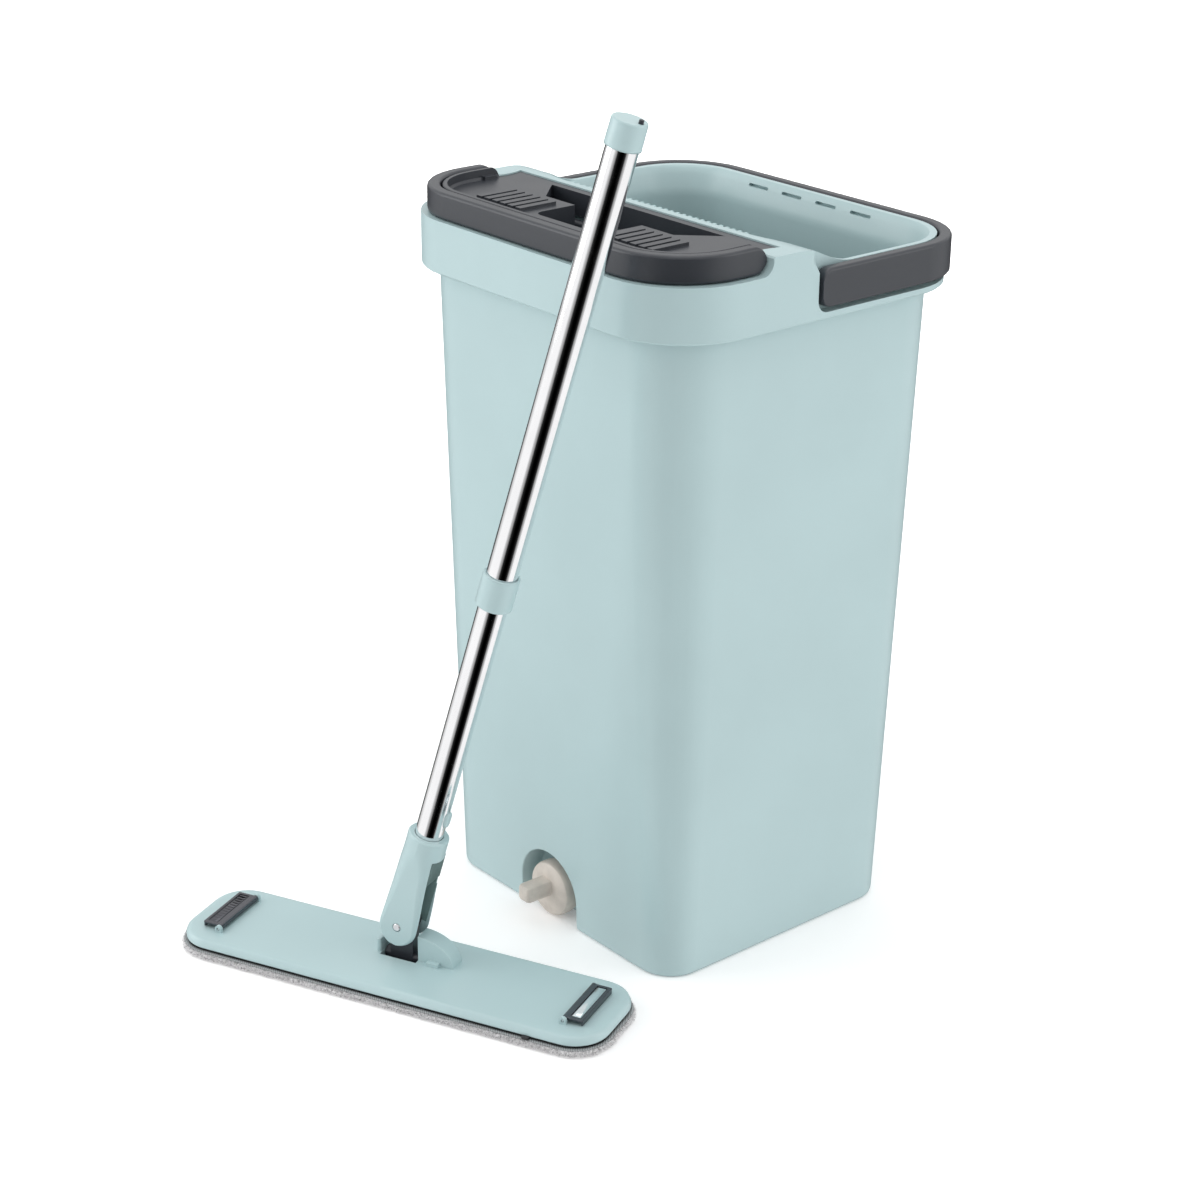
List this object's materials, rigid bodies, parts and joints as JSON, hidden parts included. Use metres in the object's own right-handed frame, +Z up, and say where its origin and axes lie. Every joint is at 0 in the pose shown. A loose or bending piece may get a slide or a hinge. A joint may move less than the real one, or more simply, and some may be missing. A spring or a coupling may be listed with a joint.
{
  "type": "squeeze mop and bucket",
  "caption": "Flat squeeze mop with a telescopic chrome pole, standing beside its tall wringer bucket with a lidded wringing side, a wash side and two swing handles.",
  "frame": {"origin": "centre of the bucket's flat underside, on the floor", "axes": "+Z up; -Y towards the bucket's front, where the drain plug and the mop are; +X to the right seen from the front"},
  "size_m": [0.2817, 0.4229, 0.5385],
  "materials": {
    "teal_plastic": "satin",
    "dark_plastic": "fine grain",
    "black_rubber": "matt",
    "cream_rubber": "soft matt",
    "chrome_tube": "polished",
    "dark_chrome": "dark polished",
    "steel": "bright",
    "microfibre": "short twisted pile",
    "hook_fabric": "fine hooks"
  },
  "bodies": {
    "bucket": {"bucket_body": "teal_plastic", "top_frame": "teal_plastic", "wringer_cover": "dark_plastic", "wringer_chute": "teal_plastic", "scrub_board": "teal_plastic", "squeeze_pin": "steel", "squeeze_spring_left": "steel", "squeeze_spring_right": "steel", "front_handle_pin_left": "steel", "front_handle_pin_right": "steel", "rear_handle_pin_left": "steel", "rear_handle_pin_right": "steel", "drain_bush": "black_rubber"},
    "front_handle": {"front_handle": "dark_plastic"},
    "rear_handle": {"rear_handle": "dark_plastic"},
    "drain_plug": {"drain_plug": "cream_rubber", "drain_seal": "black_rubber"},
    "squeeze_plate": {"squeeze_plate": "dark_plastic", "wiper_strip": "black_rubber"},
    "mop_head": {"mop_pad": "microfibre", "hook_sheet": "hook_fabric", "head_plate": "teal_plastic", "swivel_axle": "steel", "clip_pin_left": "steel", "clip_pin_right": "steel"},
    "pad_clip_left": {"pad_clip_left": "dark_chrome"},
    "pad_clip_right": {"pad_clip_right": "dark_chrome"},
    "swivel_block": {"swivel_block": "dark_plastic"},
    "pole": {"yoke_socket": "teal_plastic", "yoke_pin": "steel", "lower_tube": "chrome_tube", "tube_guide": "black_rubber", "button_spring": "steel"},
    "snap_button": {"snap_button": "teal_plastic"},
    "upper_pole": {"upper_tube": "chrome_tube", "top_cap": "teal_plastic", "hang_stud": "dark_plastic"},
    "lock_collar": {"lock_collar": "teal_plastic"}
  },
  "joints": [
    {"name": "mop_lift", "type": "slide", "parent": "bucket", "child": "mop_head", "axis": [0, -0.6, 0.8], "range_m": [0, 0.45]},
    {"name": "head_roll", "type": "hinge", "parent": "mop_head", "child": "swivel_block", "pos_m": [-0.0094, -0.2067, 0.0107], "axis": [0.91, 0.4147, 0], "range_deg": [0, 33]},
    {"name": "head_pitch", "type": "hinge", "parent": "swivel_block", "child": "pole", "pos_m": [-0.00975, -0.20594, 0.03368], "axis": [0.4144, -0.9094, 0.0363], "range_deg": [-72, 75]},
    {"name": "pole_telescope", "type": "slide", "parent": "pole", "child": "upper_pole", "axis": [0.2219, 0.1396, 0.965], "range_m": [-0.12, 0.1]},
    {"name": "lock_twist", "type": "hinge", "parent": "upper_pole", "child": "lock_collar", "pos_m": [0.04249, -0.17307, 0.26085], "axis": [0.2219, 0.1396, 0.965], "range_deg": [0, 90]},
    {"name": "button_press", "type": "slide", "parent": "pole", "child": "snap_button", "axis": [-0.8826, -0.3919, 0.2597], "range_m": [0, 0.003], "stiffness_N_per_m": 600, "deforming": ["button_spring"]},
    {"name": "left_clip_lift", "type": "hinge", "parent": "mop_head", "child": "pad_clip_left", "pos_m": [-0.11052, -0.26212, 0.0147], "axis": [-0.4147, 0.91, 0], "range_deg": [0, 35]},
    {"name": "right_clip_lift", "type": "hinge", "parent": "mop_head", "child": "pad_clip_right", "pos_m": [0.10605, -0.16343, 0.0147], "axis": [0.4147, -0.91, 0], "range_deg": [0, 35]},
    {"name": "front_handle_swing", "type": "hinge", "parent": "bucket", "child": "front_handle", "pos_m": [0, -0.0575, 0.4508], "axis": [-1, 0, 0], "range_deg": [0, 95]},
    {"name": "rear_handle_swing", "type": "hinge", "parent": "bucket", "child": "rear_handle", "pos_m": [0, 0.0008, 0.4295], "axis": [1, 0, 0], "range_deg": [0, 93]},
    {"name": "plug_pull", "type": "slide", "parent": "bucket", "child": "drain_plug", "axis": [0, -1, 0], "range_m": [0, 0.035]},
    {"name": "squeeze_plate_swing", "type": "hinge", "parent": "bucket", "child": "squeeze_plate", "pos_m": [0, -0.0395, 0.433], "axis": [1, 0, 0], "range_deg": [0, 8], "stiffness_Nm_per_rad": 0.6, "deforming": ["squeeze_spring_left", "squeeze_spring_right"]}
  ]
}
